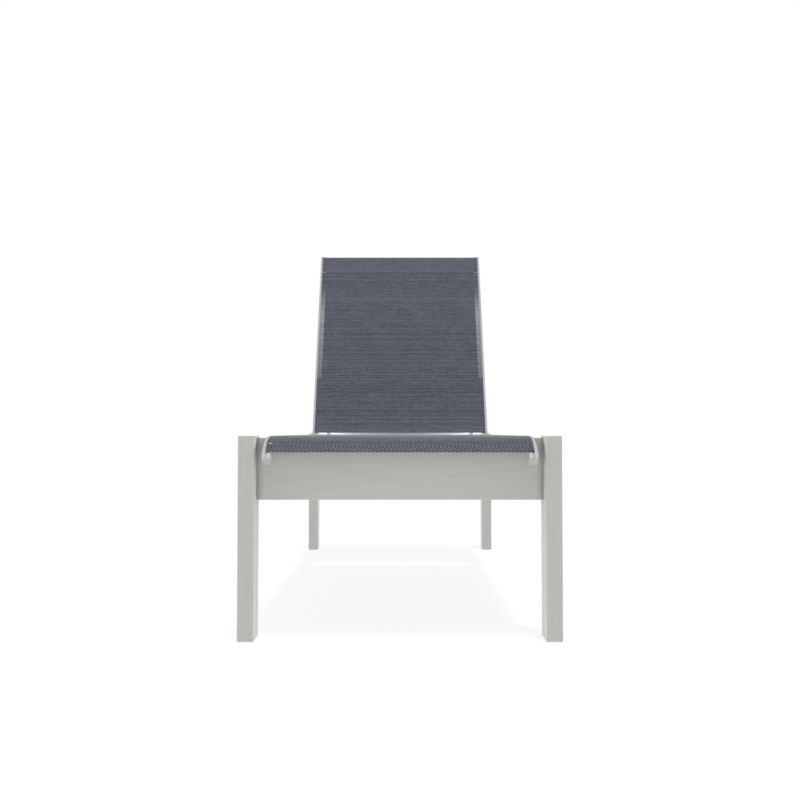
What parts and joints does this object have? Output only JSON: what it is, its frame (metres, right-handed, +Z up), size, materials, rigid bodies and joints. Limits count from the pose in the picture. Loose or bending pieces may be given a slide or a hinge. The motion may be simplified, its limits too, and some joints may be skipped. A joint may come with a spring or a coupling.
{
  "type": "chaise lounge",
  "caption": "Outdoor chaise lounge with a square-legged board frame, curved-nose sling seat and a sling back that reclines on an elevator bar with notched racks.",
  "frame": {"origin": "middle of the overall box, on the floor", "axes": "+X across to the right seen from the front, +Y from the foot end towards the back rest, +Z up"},
  "size_m": [0.686, 1.6806, 1.0864],
  "materials": {
    "board_polymer": "matte",
    "rail_paint": "satin",
    "bracket_paint": "satin",
    "cap_plastic": "matte",
    "bearing_nylon": "satin",
    "spline_plastic": "matte",
    "sling_fabric": "matte",
    "steel_fastener": "satin"
  },
  "bodies": {
    "frame": {"front_leg_left": "board_polymer", "front_leg_right": "board_polymer", "rear_leg_left": "board_polymer", "rear_leg_right": "board_polymer", "front_apron": "board_polymer", "rear_apron": "board_polymer", "side_board_left": "board_polymer", "side_board_right": "board_polymer", "front_corner_brace_left": "bracket_paint", "front_corner_brace_right": "bracket_paint", "rear_corner_brace_left": "bracket_paint", "rear_corner_brace_right": "bracket_paint", "corner_brace_screws": "steel_fastener", "leg_bolts": "steel_fastener", "leg_barrel_nuts": "steel_fastener", "foot_glides": "bearing_nylon", "seat_rail_left": "rail_paint", "seat_rail_right": "rail_paint", "seat_rail_nose_cap_left": "cap_plastic", "seat_rail_nose_cap_right": "cap_plastic", "seat_rail_rear_cap_left": "cap_plastic", "seat_rail_rear_cap_right": "cap_plastic", "seat_spline_left": "spline_plastic", "seat_spline_right": "spline_plastic", "seat_sling": "sling_fabric", "seat_bar_front": "rail_paint", "seat_bar_middle": "rail_paint", "seat_bar_rear": "rail_paint", "seat_rail_clips": "bracket_paint", "seat_rail_clip_screws": "steel_fastener", "hinge_plate_left": "bracket_paint", "hinge_plate_right": "bracket_paint", "hinge_plate_screws": "steel_fastener", "hinge_bolts": "steel_fastener", "hinge_nuts": "steel_fastener", "elevator_rack_left": "bearing_nylon", "elevator_rack_right": "bearing_nylon", "elevator_rack_screws": "steel_fastener"},
    "back": {"back_rail_left": "rail_paint", "back_rail_right": "rail_paint", "back_hinge_plug_left": "bearing_nylon", "back_hinge_plug_right": "bearing_nylon", "back_rail_cap_left": "cap_plastic", "back_rail_cap_right": "cap_plastic", "back_spline_left": "spline_plastic", "back_spline_right": "spline_plastic", "back_sling": "sling_fabric", "back_bar_lower": "rail_paint", "back_bar_middle": "rail_paint", "back_bar_upper": "rail_paint", "elevator_inserts": "steel_fastener", "elevator_spacers": "bearing_nylon", "elevator_bolts": "steel_fastener"},
    "elevator": {"elevator_leg_left": "rail_paint", "elevator_leg_right": "rail_paint", "elevator_foot_bar": "rail_paint", "elevator_foot_plugs": "bearing_nylon"}
  },
  "joints": [
    {"name": "back_recline", "type": "hinge", "parent": "frame", "child": "back", "pos_m": [0, 0.34233, 0.4197], "axis": [1, 0, 0], "range_deg": [-62.5, 0]},
    {"name": "elevator_swing", "type": "hinge", "parent": "back", "child": "elevator", "pos_m": [0, 0.41505, 0.55095], "axis": [1, 0, 0], "range_deg": [0, 111.25]}
  ],
  "couplings": [
    {"joint": "elevator_swing", "follows": "back_recline", "ratio": -1.78}
  ]
}
